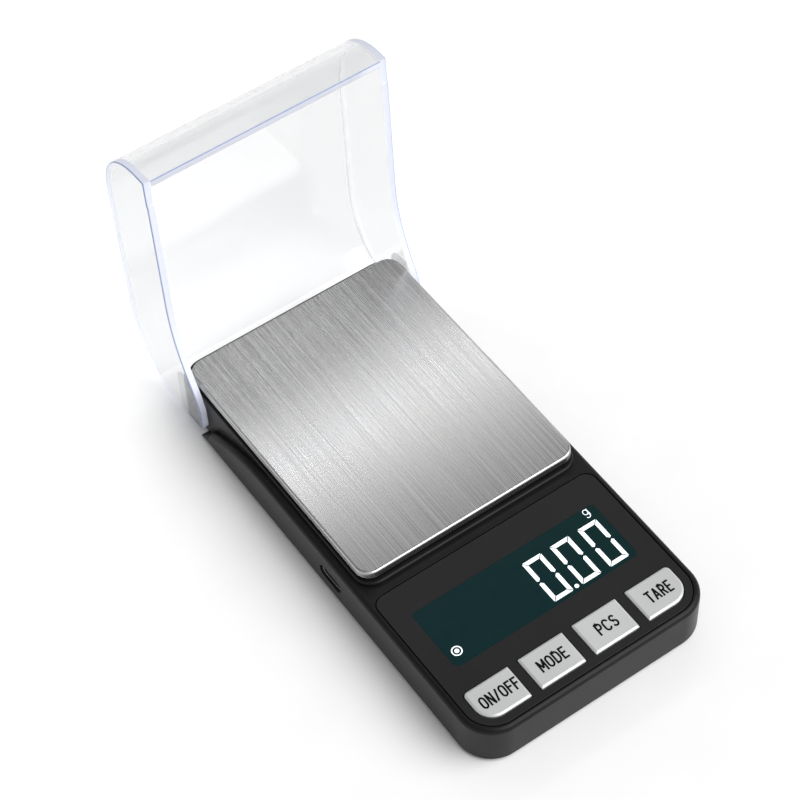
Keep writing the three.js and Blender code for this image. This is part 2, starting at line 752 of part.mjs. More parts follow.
place('load_cell', loadCell(), aluminium);
place('load_cell_spacer', loadCellSpacer(), aluminium);
place('strain_gauge_upper', strainGauge([beamTop + 0.1, beamTop + 0.7]), whitePlastic);
place('strain_gauge_lower', strainGauge([beamBottom - 0.7, beamBottom - 0.1]), whitePlastic);
baseScrewYs.forEach((y, i) => {
  place(`base_screw_${i + 1}`, screw(0, y, coverSeatZ - seatClearance, 1, baseScrew), zincSteel);
});
place('overload_stop', overloadStop(), zincSteel);
place('platform_carrier', platformCarrier(), blackPlastic);
place('platform_plate', platformPlate(), steel);
platformScrewYs.forEach((y, i) => {
  place(`platform_screw_${i + 1}`, screw(0, y, carrierSeatZ + seatClearance, -1, platformScrew), zincSteel);
});

// The lid's own frame has its hinge line on X and its forward direction along -Y when closed.
const lidPivot = new THREE.Group();
lidPivot.position.set(0, hingeY, hingeZ);
lidPivot.rotation.x = -lidOpenAngle;
scale.add(lidPivot);
const lidForward = new THREE.Matrix4().makeScale(1, -1, 1);
place('lid', lidSolid().transform(lidForward.elements), clearPlastic, lidPivot);

export default scale;
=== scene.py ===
"""Looks for the digital gram scale: case, panel, display, keys, steel platform and clear hinged lid.

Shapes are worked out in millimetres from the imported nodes' boxes and turned into metres when a mesh is made.
"""
import json
import math

import bmesh
import bpy
from mathutils import Matrix, Vector


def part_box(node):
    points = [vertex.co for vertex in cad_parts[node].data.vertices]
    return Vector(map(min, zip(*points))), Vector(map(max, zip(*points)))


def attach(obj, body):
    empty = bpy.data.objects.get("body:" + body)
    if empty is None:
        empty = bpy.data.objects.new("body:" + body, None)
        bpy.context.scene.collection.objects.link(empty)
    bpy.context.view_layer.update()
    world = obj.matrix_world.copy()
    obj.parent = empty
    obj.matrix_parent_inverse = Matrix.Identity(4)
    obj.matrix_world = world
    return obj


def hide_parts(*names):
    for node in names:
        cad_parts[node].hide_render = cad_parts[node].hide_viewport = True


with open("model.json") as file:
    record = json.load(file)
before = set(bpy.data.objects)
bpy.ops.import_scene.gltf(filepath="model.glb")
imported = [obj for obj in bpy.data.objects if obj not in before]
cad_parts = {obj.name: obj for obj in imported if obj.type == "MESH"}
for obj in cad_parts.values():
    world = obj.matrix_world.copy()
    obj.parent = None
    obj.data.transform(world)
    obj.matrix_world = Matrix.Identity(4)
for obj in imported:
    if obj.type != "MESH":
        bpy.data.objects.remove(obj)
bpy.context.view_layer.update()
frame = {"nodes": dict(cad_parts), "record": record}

MM = 0.001


def box_mm(node):
    """A CAD node's lowest and highest corners, in millimetres."""
    low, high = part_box(node)
    return low / MM, high / MM


# ---- driving sizes, in millimetres ---------------------------------------------------------------
housing_low, housing_high = box_mm("top_housing")
panel_low, panel_high = box_mm("control_panel")
plate_low, plate_high = box_mm("platform_plate")
cover_low, cover_high = box_mm("bottom_cover")
usb_low, usb_high = box_mm("usb_c_socket")

CASE_HALF = housing_high.x
FRONT_Y = housing_low.y
REAR_Y = housing_high.y
TRAY_TOP = housing_high.z
RIM_Z = panel_high.z
RIM_FILLET = 1.5
FRONT_RADIUS = 10
REAR_RADIUS = 6
WALL = 1.8
GAP = 0.3
SLIP = 0.4
PAST = 2  # how far a cutting shape runs on past the top surface it opens
BELOW = -3  # where the shapes that cut the underside start

TRAY_HALF = 35.2
TRAY_FRONT_Y = -18.35
TRAY_RADIUS = 5.5
TRAY_WALL = 2
TRAY_FLOOR = 13.4
TRAY_FILLET = 0.6
DECK = 1.5
WIDE_END_Y = 25.9
STEM_HOLE = ((-9.5, 33.9, 5), (9.5, 51.5, 20))
PIN_CLEARANCE = 0.25
COVER_THICKNESS = 1.6
SCREW_SEAT = 1.35
STOP_HOLE_RADIUS = 1.9

PANEL_RADII = (8.2, 8.2, 3.3, 3.3)
PANEL_FLOOR = panel_low.z - GAP
KEY_NAMES = ("on_off", "mode", "pcs", "tare")
KEY_FLANGE = 1.1
KEY_RADIUS = 5.4
KEY_SMALL_RADIUS = 1.4
KEY_TINY_RADIUS = 0.3
LEGEND_HEIGHT = 3.75
LEGEND_STROKE = 0.54

WINDOW_HALF = 29.5
WINDOW_FRONT_Y = -50.25
WINDOW_REAR_Y = -30.25
DIGIT_LEFTS = (2.8, 11.9, 21.05)
DIGIT_WIDTH = 6.15
DIGIT_LOW_Y = -49.05
DIGIT_HIGH_Y = -34.75
POINT_X = 10.35

HINGE = Vector(frame["record"]["behaviour"]["joints"][0]["pos_m"]) / MM
LID_OPEN = math.radians(92.2)
LID_WALL = 2
STUB_RADIUS = 1.6
NOSE = (64.5, 9, 20)  # forward, up and radius of the front bend, with the lid closed
SHOULDER = (16.5, 1, 28)  # the same for the rear bend
SHOULDER_END = math.radians(138)
CHEEK_SWEEP = ((2, -4.2), (8, -2.4), (13.3, 0.2), (21, 3.1), (29, 4.95), (37, 5.6))
EAR_REAR = -6.3
EAR_CORNER = 3
EAR_TOP = 10
EAR_BEND = 15
LID_BEVEL = 0.22
CHEEK_BEVEL = 0.28
POCKET_FRONT = 3.4
POCKET_RADIUS = 8.6
POCKET_TOP = (2.8, 8.1)

STEEL = 0.6
PLATE_RADIUS = 4.5
PLATE_FILLET = 0.7

ROOM_SIDES = (1, 1, 1)
ROOM_TOP = (0.3, 0.3, 0.3)
OVERHEAD = 2.9
OVERHEAD_SPREAD = math.radians(60)
OVERHEAD_AIM = (-0.5, 0.6, -0.95)
STRIP = 0.26
STRIP_SIZE = (0.7, 0.03)
STRIP_AWAY = 0.6
STRIP_PEAK_Y = 24  # where on the platform the strip is mirrored
LID_SHADE = 0.15  # how much of the lid's tint its shadow takes

CAMERA_LENS = 112
CAMERA_AZIMUTH = math.radians(-33.21)
CAMERA_ELEVATION = math.radians(52.6)
CAMERA_ROLL = math.radians(-2.55)
CAMERA_AIM = Vector((9.98, 30.59, 10.0))
CAMERA_DISTANCE = 0.68793
FLOOR_REACH = 3


# ---- mesh helpers --------------------------------------------------------------------------------
def new_piece(name, vertices, faces):
    """A mesh object from vertices in millimetres."""
    mesh = bpy.data.meshes.new(name)
    mesh.from_pydata([Vector(v) * MM for v in vertices], [], faces)
    mesh.validate()
    piece = bpy.data.objects.new(name, mesh)
    bpy.context.scene.collection.objects.link(piece)
    edit = bmesh.new()
    edit.from_mesh(mesh)
    bmesh.ops.recalc_face_normals(edit, faces=edit.faces)
    edit.to_mesh(mesh)
    edit.free()
    return piece


def arc(cx, cy, radius, start, end, steps):
    """Points on a circle from start to end, in degrees."""
    angles = [math.radians(start + (end - start) * i / steps) for i in range(steps + 1)]
    return [(cx + radius * math.cos(a), cy + radius * math.sin(a)) for a in angles]


def rounded(x0, x1, y0, y1, radii, inset=0.0, steps=10):
    """A rounded rectangle, anticlockwise; radii are front left, front right, rear right, rear left."""
    corners = ((x0, y0, 1, 1, 180), (x1, y0, -1, 1, 270), (x1, y1, -1, -1, 0), (x0, y1, 1, -1, 90))
    points = []
    for (x, y, sx, sy, start), radius in zip(corners, radii):
        r = max(radius - inset, 0.02)
        cx, cy = x + sx * max(radius, inset + 0.02), y + sy * max(radius, inset + 0.02)
        points += arc(cx, cy, r, start, start + 90, steps)
    return points


def centred(half):
    return -half, half


def fillet_levels(z, radius, steps=6, upward=True):
    """(inset, z) pairs round an outside edge whose flat face is at z."""
    pairs = []
    for i in range(steps + 1):
        a = math.radians(90 * i / steps)
        pairs.append((radius * (1 - math.cos(a)), z + (-1 if upward else 1) * radius * (1 - math.sin(a))))
    return pairs


def stack(name, outline, levels):
    """A closed solid from an outline(inset) drawn at each (inset, z) level, lowest first."""
    rings = [[(x, y, z) for x, y in outline(inset)] for inset, z in levels]
    count = len(rings[0])
    vertices = [v for ring in rings for v in ring]
    faces = [tuple(reversed(range(count))), tuple(range((len(rings) - 1) * count, len(rings) * count))]
    for level in range(len(rings) - 1):
        a, b = level * count, (level + 1) * count
        faces += [(a + i, a + (i + 1) % count, b + (i + 1) % count, b + i) for i in range(count)]
    return new_piece(name, vertices, faces)


def slab(name, outline, z0, z1, top=0.0, bottom=0.0, steps=5):
    """A plate between two heights with optional rounded top and bottom edges."""
    low = list(reversed(fillet_levels(z0, bottom, steps, upward=False))) if bottom else [(0, z0)]
    high = fillet_levels(z1, top, steps) if top else [(0, z1)]
    return stack(name, outline, low + high)


def lathe(name, x, y, profile, sides=40):
    """A turned piece from (radius, z) points that start and end on the axis."""
    vertices = [(x, y, profile[0][1]), (x, y, profile[-1][1])]
    body = profile[1:-1]
    for radius, z in body:
        for i in range(sides):
            a = 2 * math.pi * i / sides
            vertices.append((x + radius * math.cos(a), y + radius * math.sin(a), z))
    faces = []
    for i in range(sides):
        j = (i + 1) % sides
        faces.append((0, 2 + j, 2 + i))
        last = 2 + (len(body) - 1) * sides
        faces.append((1, last + i, last + j))
        for level in range(len(body) - 1):
            a = 2 + level * sides
            faces.append((a + i, a + j, a + sides + j, a + sides + i))
    return new_piece(name, vertices, faces)


def sideways(name, outline, *stations):
    """A solid from an outline of (y, z) points carried along X through two or more stations."""
    count = len(outline)
    vertices = [(x, y, z) for x in stations for y, z in outline]
    last = (len(stations) - 1) * count
    faces = [tuple(range(count)), tuple(reversed(range(last, last + count)))]
    for start in range(0, last, count):
        faces += [
            (start + i, start + (i + 1) % count, start + count + (i + 1) % count, start + count + i)
            for i in range(count)
        ]
    return new_piece(name, vertices, faces)


def brick(name, low, high):
    (x0, y0, z0), (x1, y1, z1) = low, high
    return sideways(name, [(y0, z0), (y1, z0), (y1, z1), (y0, z1)], x0, x1)


def combine(piece, operation, *tools):
    """Applies boolean tools to a piece and removes them."""
    for tool in tools:
        modifier = piece.modifiers.new("combine", "BOOLEAN")
        modifier.operation = operation
        modifier.solver = "EXACT"
        modifier.object = tool
        evaluated = piece.evaluated_get(bpy.context.evaluated_depsgraph_get())
        mesh = bpy.data.meshes.new_from_object(evaluated)
        piece.modifiers.clear()
        piece.data = mesh
        bpy.data.objects.remove(tool)
    return piece


def cut(piece, *tools):
    return combine(piece, "DIFFERENCE", *tools)


def weld(piece, *tools):
    return combine(piece, "UNION", *tools)


def bevel_edges(piece, width, min_angle=50, segments=3, where=lambda a, b: True, finish=-1):
    """Rounds the sharp outside and inside edges whose two ends pass the test."""
    edit = bmesh.new()
    edit.from_mesh(piece.data)
    bmesh.ops.dissolve_degenerate(edit, dist=1e-6, edges=edit.edges)
    chosen = [
        e
        for e in edit.edges
        if len(e.link_faces) == 2
        and e.calc_face_angle() > math.radians(min_angle)
        and where(e.verts[0].co / MM, e.verts[1].co / MM)
    ]
    bmesh.ops.bevel(
        edit,
        geom=chosen,
        offset=width * MM,
        segments=segments,
        profile=0.5,
        affect="EDGES",
        clamp_overlap=True,
        material=finish,
    )
    edit.to_mesh(piece.data)
    edit.free()


def smooth(piece, angle=32):
    """Smooth shading that stays crisp on real edges and flat on large faces."""
    piece.data.shade_smooth()
    piece.data.set_sharp_from_angle(angle=math.radians(angle))
    weighted = piece.modifiers.new("weighted_normals", "WEIGHTED_NORMAL")
    weighted.keep_sharp = True
    return piece


def dress(piece, body, slot, material, *stands_for):
    """Gives a finished piece its material and its body, and hides the CAD nodes it stands for; its slot is not
    used.
    """
    for one in material if isinstance(material, tuple) else (material,):
        piece.data.materials.append(one)
    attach(piece, body)
    if stands_for:
        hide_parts(*stands_for)
    return piece


# ---- materials -----------------------------------------------------------------------------------
def shader_for(name, color, roughness, metallic=0.0, **sockets):
    """A material's tree and its Principled shader, with uniform values set on the shader's own sockets."""
    material = bpy.data.materials.new(name)
    material.use_nodes = True
    shader = material.node_tree.nodes["Principled BSDF"]
    shader.inputs["Base Color"].default_value = (*color, 1)
    shader.inputs["Roughness"].default_value = roughness
    shader.inputs["Metallic"].default_value = metallic
    for socket, value in sockets.items():
        shader.inputs[socket.replace("_", " ")].default_value = value
    return material, material.node_tree, shader


def noise(tree, per_mm, stretch=(1, 1, 1), detail=2.0):
    """Noise in the object's own coordinates, at so many cells to the millimetre."""
    place = tree.nodes.new("ShaderNodeTexCoord")
    mapping = tree.nodes.new("ShaderNodeMapping")
    mapping.inputs["Scale"].default_value = [per_mm / MM * s for s in stretch]
    texture = tree.nodes.new("ShaderNodeTexNoise")
    texture.inputs["Scale"].default_value = 1
    texture.inputs["Detail"].default_value = detail
    tree.links.new(place.outputs["Object"], mapping.inputs["Vector"])
    tree.links.new(mapping.outputs["Vector"], texture.inputs["Vector"])
    return texture.outputs["Fac"]


def spread(tree, source, low, high, socket, start=0.3, end=0.7):
    """Maps noise onto a numeric socket between two values."""
    ranged = tree.nodes.new("ShaderNodeMapRange")
    for name, value in (("From Min", start), ("From Max", end), ("To Min", low), ("To Max", high)):
        ranged.inputs[name].default_value = value
    tree.links.new(source, ranged.inputs["Value"])
    tree.links.new(ranged.outputs["Result"], socket)


def blend_colors(tree, source, dark, light, socket, start=0.3, end=0.7):
    """Maps noise onto a colour socket between two colours."""
    ramp = tree.nodes.new("ShaderNodeValToRGB")
    ramp.color_ramp.elements[0].position = start
    ramp.color_ramp.elements[0].color = (*dark, 1)
    ramp.color_ramp.elements[1].position = end
    ramp.color_ramp.elements[1].color = (*light, 1)
    tree.links.new(source, ramp.inputs["Fac"])
    tree.links.new(ramp.outputs["Color"], socket)


def relief(tree, shader, source, depth_mm):
    bump = tree.nodes.new("ShaderNodeBump")
    bump.inputs["Strength"].default_value = 1
    bump.inputs["Distance"].default_value = depth_mm * MM
    tree.links.new(source, bump.inputs["Height"])
    tree.links.new(bump.outputs["Normal"], shader.inputs["Normal"])


def grained(name, dark, light, roughness, grain_per_mm, depth_mm, metallic=0.0, **sockets):
    """A moulded or painted surface: slight colour and gloss variation over a fine grain."""
    material, tree, shader = shader_for(name, light, roughness[0], metallic, **sockets)
    patches = noise(tree, 0.05, detail=4)
    blend_colors(tree, patches, dark, light, shader.inputs["Base Color"])
    grain = noise(tree, grain_per_mm)
    spread(tree, grain, *roughness, shader.inputs["Roughness"])
    relief(tree, shader, grain, depth_mm)
    return material


def brushed_steel():
    """Stainless sheet with streaks that run front to back and a highlight that spreads across them."""
    material, tree, shader = shader_for("brushed_steel", (0.6, 0.6, 0.6), 0.3, 1.0, Anisotropic=0.9)
    fine = noise(tree, 4.2, (1, 0.002, 1), detail=2)
    broad = noise(tree, 1.8, (1, 0.002, 1), detail=2)
    both = tree.nodes.new("ShaderNodeMath")
    both.operation = "MULTIPLY"
    tree.links.new(fine, both.inputs[0])
    tree.links.new(broad, both.inputs[1])
    dark, light = (0.43, 0.43, 0.43), (0.59, 0.59, 0.59)
    blend_colors(tree, both.outputs[0], dark, light, shader.inputs["Base Color"], 0.12, 0.4)
    spread(tree, fine, 0.22, 0.32, shader.inputs["Roughness"])
    along = tree.nodes.new("ShaderNodeTangent")
    along.direction_type = "UV_MAP"
    along.uv_map = "brushing"
    tree.links.new(along.outputs["Tangent"], shader.inputs["Tangent"])
    relief(tree, shader, fine, 0.0004)
    return material


def clear_plastic(name, color, roughness, clearness=1.0, **sockets):
    """Clear or cloudy plastic that lets lamp light through to what is behind it."""
    sockets |= {"IOR": 1.33, "Transmission_Weight": clearness}
    material, tree, shader = shader_for(name, color, roughness, **sockets)
    spread(tree, noise(tree, 0.02), roughness, roughness + 0.02, shader.inputs["Roughness"])
    open_for_lamps(tree, shader, [1 - LID_SHADE * (1 - part) for part in color])
    return material


def open_for_lamps(tree, shader, color):
    """Lets lamp light pass straight through the surface, only slightly dimmed."""
    through = tree.nodes.new("ShaderNodeBsdfTransparent")
    through.inputs["Color"].default_value = (*color, 1)
    rays = tree.nodes.new("ShaderNodeLightPath")
    mix = tree.nodes.new("ShaderNodeMixShader")
    tree.links.new(rays.outputs["Is Shadow Ray"], mix.inputs["Fac"])
    tree.links.new(shader.outputs["BSDF"], mix.inputs[1])
    tree.links.new(through.outputs["BSDF"], mix.inputs[2])
    tree.links.new(mix.outputs["Shader"], tree.nodes["Material Output"].inputs["Surface"])


def display_tint():
    """The unlit display: deep teal, a little bluer towards its left end."""
    material, tree, shader = shader_for("display_tint", (0.006, 0.022, 0.024), 0.2, Specular_IOR_Level=0.1)
    place = tree.nodes.new("ShaderNodeTexCoord")
    across = tree.nodes.new("ShaderNodeSeparateXYZ")
    tree.links.new(place.outputs["Object"], across.inputs["Vector"])
    shifted = tree.nodes.new("ShaderNodeMath")
    shifted.operation = "MULTIPLY_ADD"
    shifted.inputs[1].default_value = 1 / (2 * WINDOW_HALF * MM)
    shifted.inputs[2].default_value = 0.5
    tree.links.new(across.outputs["X"], shifted.inputs[0])
    left, right = (0.0048, 0.0215, 0.0245), (0.0046, 0.0215, 0.0225)
    blend_colors(tree, shifted.outputs[0], left, right, shader.inputs["Base Color"], 0, 1)
    spread(tree, noise(tree, 0.3), 0.18, 0.26, shader.inputs["Roughness"])
    return material


def glowing_digit():
    material, tree, shader = shader_for("glowing_digit", (0.85, 0.9, 0.92), 0.4, Emission_Strength=0.55)
    shader.inputs["Emission Color"].default_value = (0.85, 0.95, 1, 1)
    blend_colors(tree, noise(tree, 0.8), (0.8, 0.87, 0.9), (0.88, 0.93, 0.95), shader.inputs["Base Color"])
    return material


looks = {
    "case_black": grained(
        "case_plastic",
        (0.006, 0.006, 0.0065),
        (0.009, 0.009, 0.0095),
        (0.3, 0.4),
        4.5,
        0.004,
        Specular_IOR_Level=0.18,
    ),
    "panel_black": grained(
        "panel_film",
        (0.0095, 0.0095, 0.0105),
        (0.012, 0.012, 0.013),
        (0.36, 0.44),
        7.0,
        0.002,
        Specular_IOR_Level=0.25,
    ),
    "display": display_tint(),
    "key_silver": grained(
        "key_paint", (0.56, 0.57, 0.565), (0.61, 0.62, 0.615), (0.3, 0.4), 8.0, 0.002, 0.3
    ),
    "plate_steel": brushed_steel(),
    "carrier_black": grained(
        "carrier_plastic", (0.008, 0.008, 0.008), (0.014, 0.014, 0.014), (0.5, 0.65), 4.0, 0.006
    ),
    "lid_clear": clear_plastic("lid_clear", (0.88, 0.885, 0.89), 0.0),
    "foot_rubber": grained(
        "foot_rubber", (0.012, 0.012, 0.012), (0.022, 0.022, 0.022), (0.7, 0.85), 5.0, 0.01
    ),
    "screw_steel": grained(
        "zinc_plate", (0.42, 0.42, 0.44), (0.6, 0.6, 0.62), (0.22, 0.36), 3.0, 0.002, 1.0
    ),
    "socket_steel": grained(
        "nickel_sheet", (0.6, 0.6, 0.6), (0.74, 0.74, 0.73), (0.16, 0.26), 2.0, 0.001, 1.0
    ),
    "inner_black": grained(
        "inner_plastic", (0.01, 0.01, 0.01), (0.016, 0.016, 0.016), (0.4, 0.6), 5.0, 0.003
    ),
    "board_green": grained("solder_mask", (0.01, 0.07, 0.03), (0.02, 0.12, 0.05), (0.25, 0.4), 1.5, 0.004),
    "inner_white": grained(
        "white_moulding", (0.68, 0.68, 0.65), (0.76, 0.76, 0.73), (0.45, 0.6), 4.0, 0.003
    ),
    "battery_foil": grained(
        "pouch_foil", (0.5, 0.51, 0.53), (0.66, 0.67, 0.69), (0.25, 0.4), 0.6, 0.03, 0.9
    ),
    "beam_aluminium": grained(
        "milled_aluminium", (0.55, 0.56, 0.57), (0.68, 0.69, 0.7), (0.25, 0.4), 2.5, 0.003, 1.0
    ),
    "cable_grey": grained("cable_sleeve", (0.1, 0.105, 0.11), (0.15, 0.155, 0.16), (0.5, 0.65), 3.0, 0.004),
}
key_ink = grained(
    "key_ink", (0.002, 0.002, 0.0025), (0.004, 0.004, 0.0045), (0.45, 0.6), 6.0, 0.001, Specular_IOR_Level=0.1
)
digit_light = glowing_digit()
contact_gold = grained("contact_gold", (0.7, 0.5, 0.18), (0.83, 0.62, 0.25), (0.2, 0.32), 3.0, 0.001, 1.0)
lid_edge = clear_plastic("lid_edge", (0.84, 0.87, 0.98), 0.35, 0.3)
# Dark blue on the small bevels is painted shade: it stands in for the dark lines that refraction draws along
# clear plastic edges.
lid_line_painted_shade = clear_plastic("lid_line_painted_shade", (0.3, 0.37, 0.62), 0.3, 0.2)
# The panel's end faces glow faintly though they hold no lamp: painted light that keeps the seam against each
# cheek from going dark.
lid_seam_painted_glow = clear_plastic("lid_seam_painted_glow", (0.92, 0.93, 0.97), 0.4, 0.1, Emission_Strength=0.4)
# A dark grey laid over what is behind, letting most of it show through.
lid_grey_see_through = grained("lid_grey_see_through", (0.42, 0.42, 0.44), (0.48, 0.48, 0.5), (0.4, 0.5), 3.0, 0.002, Alpha=0.22)

slot_of = {entry["node"]: entry["material_slot"] for entry in frame["record"]["subparts"]}
for node, cad_object in frame["nodes"].items():
    cad_object.data.materials.clear()
    cad_object.data.materials.append(looks[slot_of[node]])


# ---- case ----------------------------------------------------------------------------------------
def spline(points, steps):
    """A smooth curve through points, as a Catmull-Rom spline."""
    padded = [points[0], *points, points[-1]]
    curve = []
    for i in range(len(points) - 1):
        p0, p1, p2, p3 = (Vector(p) for p in padded[i : i + 4])
        for k in range(steps):
            t = k / steps
            square, cube = 2 * p0 - 5 * p1 + 4 * p2 - p3, 3 * p1 - p0 - 3 * p2 + p3
            curve.append(0.5 * (2 * p1 + (p2 - p0) * t + square * t * t + cube * t**3))
    return [tuple(p) for p in curve] + [points[-1]]


def ledge_line():
    """The top of the case's side, (y, z) from the front corner to the hinge pocket."""
    start = math.degrees(math.atan2(*POCKET_TOP))
    end = math.degrees(math.acos(POCKET_FRONT / POCKET_RADIUS))
    drop = [(HINGE.y - f, HINGE.z - u) for f, u in arc(0, 0, POCKET_RADIUS, start, end, 12)]
    sweep = [(HINGE.y - f, HINGE.z + u - SLIP) for f, u in spline(CHEEK_SWEEP, 12) if f > POCKET_RADIUS + 0.6]
    straight = [(FRONT_Y + FRONT_RADIUS + 8 * i, RIM_Z) for i in range(11)]
    return straight + list(reversed(sweep)) + drop


def outer_case():
    """The low case, rounded along its top edge, whose sides follow the lid's cheeks down to the hinge."""
    right = []
    for x, y in arc(CASE_HALF - FRONT_RADIUS, FRONT_Y + FRONT_RADIUS, FRONT_RADIUS, 270, 360, 14)[:-1]:
        normal = (Vector((x, y)) - Vector((CASE_HALF - FRONT_RADIUS, FRONT_Y + FRONT_RADIUS))) / FRONT_RADIUS
        right.append((Vector((x, y)), normal, RIM_Z))
    right += [(Vector((CASE_HALF, y)), Vector((1, 0)), z) for y, z in ledge_line()]
    columns = []
    for point, normal, height in right:
        top, low = min(RIM_FILLET, 0.45 * height), min(0.5, 0.25 * height)
        levels = list(reversed(fillet_levels(0, low, 3, upward=False))) + fillet_levels(height, top, 7)
        columns.append([(point - normal * inset, z) for inset, z in levels])
    depth, count = len(columns[0]), len(columns)
    vertices = [(p.x, p.y, z) for column in columns for p, z in column]
    vertices += [(-x, y, z) for x, y, z in vertices]
    other = count * depth
    faces = []
    for i in range(count - 1):
        for k in range(depth - 1):
            a, b = i * depth + k, (i + 1) * depth + k
            faces += [(a, b, b + 1, a + 1), (other + a, other + a + 1, other + b + 1, other + b)]
        for k in (0, depth - 1):
            a, b = i * depth + k, (i + 1) * depth + k
            faces.append((a, b, other + b, other + a))
    for k in range(depth - 1):
        faces.append((k, k + 1, other + k + 1, other + k))
    last = (count - 1) * depth
    far_side = range(other + last, other + last + depth)
    faces.append(tuple(range(last, last + depth)) + tuple(reversed(far_side)))
    return new_piece("case", vertices, faces)


def key_outline(name, grow=0.0):
    """A key's outline; the outer keys follow the case's front corners."""
    low, high = box_mm(f"button_{name}")
    radii = [KEY_TINY_RADIUS] * 4
    if name == KEY_NAMES[0]:
        radii[0], radii[3] = KEY_RADIUS, KEY_SMALL_RADIUS
    if name == KEY_NAMES[-1]:
        radii[1], radii[2] = KEY_RADIUS, KEY_SMALL_RADIUS
    radii = [r + grow for r in radii]
    x0, x1 = low.x + KEY_FLANGE - grow, high.x - KEY_FLANGE + grow
    y0, y1 = low.y + KEY_FLANGE - grow, high.y - KEY_FLANGE + grow
    return lambda inset: rounded(x0, x1, y0, y1, radii, inset)


def stadium(cy, cz, width, height, grow=0.0, steps=16):
    """A slot outline as (y, z) points, longer along Y."""
    radius = height / 2 + grow
    reach = (width - height) / 2
    return arc(cy + reach, cz, radius, -90, 90, steps) + arc(cy - reach, cz, radius, 90, 270, steps)


def housing():
    tray_radii = (TRAY_RADIUS, TRAY_RADIUS, REAR_RADIUS, REAR_RADIUS)
    tray = slab(
        "tray",
        lambda i: rounded(*centred(TRAY_HALF), TRAY_FRONT_Y, REAR_Y, tray_radii, i),
        0.05,
        TRAY_TOP,
        TRAY_FILLET,
        0.4,
    )
    case = weld(outer_case(), tray)
    inner, inner_half = [r - TRAY_WALL for r in tray_radii], TRAY_HALF - TRAY_WALL
    front, rear = TRAY_FRONT_Y + TRAY_WALL, REAR_Y - TRAY_WALL
    mouth = flared(TRAY_FLOOR, TRAY_TOP, 0.35)
    recess = stack("recess", lambda i: rounded(*centred(inner_half), front, rear, inner, i), mouth)
    bed_radii = [r + GAP for r in PANEL_RADII]
    bed = (panel_low.x - GAP, panel_high.x + GAP, panel_low.y - GAP, panel_high.y + GAP)
    panel_bed = stack("panel_bed", lambda i: rounded(*bed, bed_radii, i), flared(PANEL_FLOOR, RIM_Z, 0.15))
    hollow_radii = [FRONT_RADIUS - WALL, FRONT_RADIUS - WALL, 0.5, 0.5]
    hollow = slab(
        "hollow",
        lambda i: rounded(*centred(CASE_HALF - WALL), FRONT_Y + WALL, WIDE_END_Y + GAP, hollow_radii, i),
        -5,
        PANEL_FLOOR - DECK,
    )
    rear_radii = (0.5, 0.5, REAR_RADIUS - WALL, REAR_RADIUS - WALL)
    rear_hollow = slab(
        "rear_hollow",
        lambda i: rounded(*centred(TRAY_HALF - WALL), TRAY_FRONT_Y + 0.1, REAR_Y - WALL, rear_radii, i),
        -5.5,
        TRAY_FLOOR - DECK,
    )
    window = brick("window", (-WINDOW_HALF, WINDOW_FRONT_Y, 1), (WINDOW_HALF, WINDOW_REAR_Y, 20))
    stem_hole = brick("stem_hole", *STEM_HOLE)
    cy, cz = (usb_low.y + usb_high.y) / 2, (usb_low.z + usb_high.z) / 2
    width, height = usb_high.y - usb_low.y + 0.5, usb_high.z - usb_low.z + 0.7
    slot_tools = [
        sideways("slot", stadium(cy, cz, width, height), -CASE_HALF - 5, -CASE_HALF + 2 * WALL),
        sideways("slot_mouth", stadium(cy, cz, width, height, 0.25), -CASE_HALF - 4, -CASE_HALF + 0.2),
    ]
    pin = arc(HINGE.y, HINGE.z, STUB_RADIUS + PIN_CLEARANCE, 0, 345, 23)
    pins = [
        sideways(f"pin_hole_{side}", pin, *sorted((side * (TRAY_HALF - 2 * WALL), side * (TRAY_HALF + 1))))
        for side in (-1, 1)
    ]
    key_holes = [slab(f"hole_{name}", key_outline(name, 2 * GAP), 5, 20) for name in KEY_NAMES]
    cut(case, recess, panel_bed, hollow, rear_hollow, window, stem_hole, *slot_tools, *pins, *key_holes)
    case.name = "housing"
    return dress(smooth(case), "base", "case_black", looks["case_black"], "top_housing")


def flared(floor_z, top_z, lip):
    """(inset, z) levels for a recess whose mouth opens out by a small rounded lip."""
    near, past = lip * 0.3, top_z + PAST
    return [(0, floor_z), (0, top_z - lip), (-near, top_z - near), (-lip, top_z), (-lip, past)]


def middle(low, high):
    """The x, y centre of a box and half its width."""
    return (low.x + high.x) / 2, (low.y + high.y) / 2, (high.x - low.x) / 2


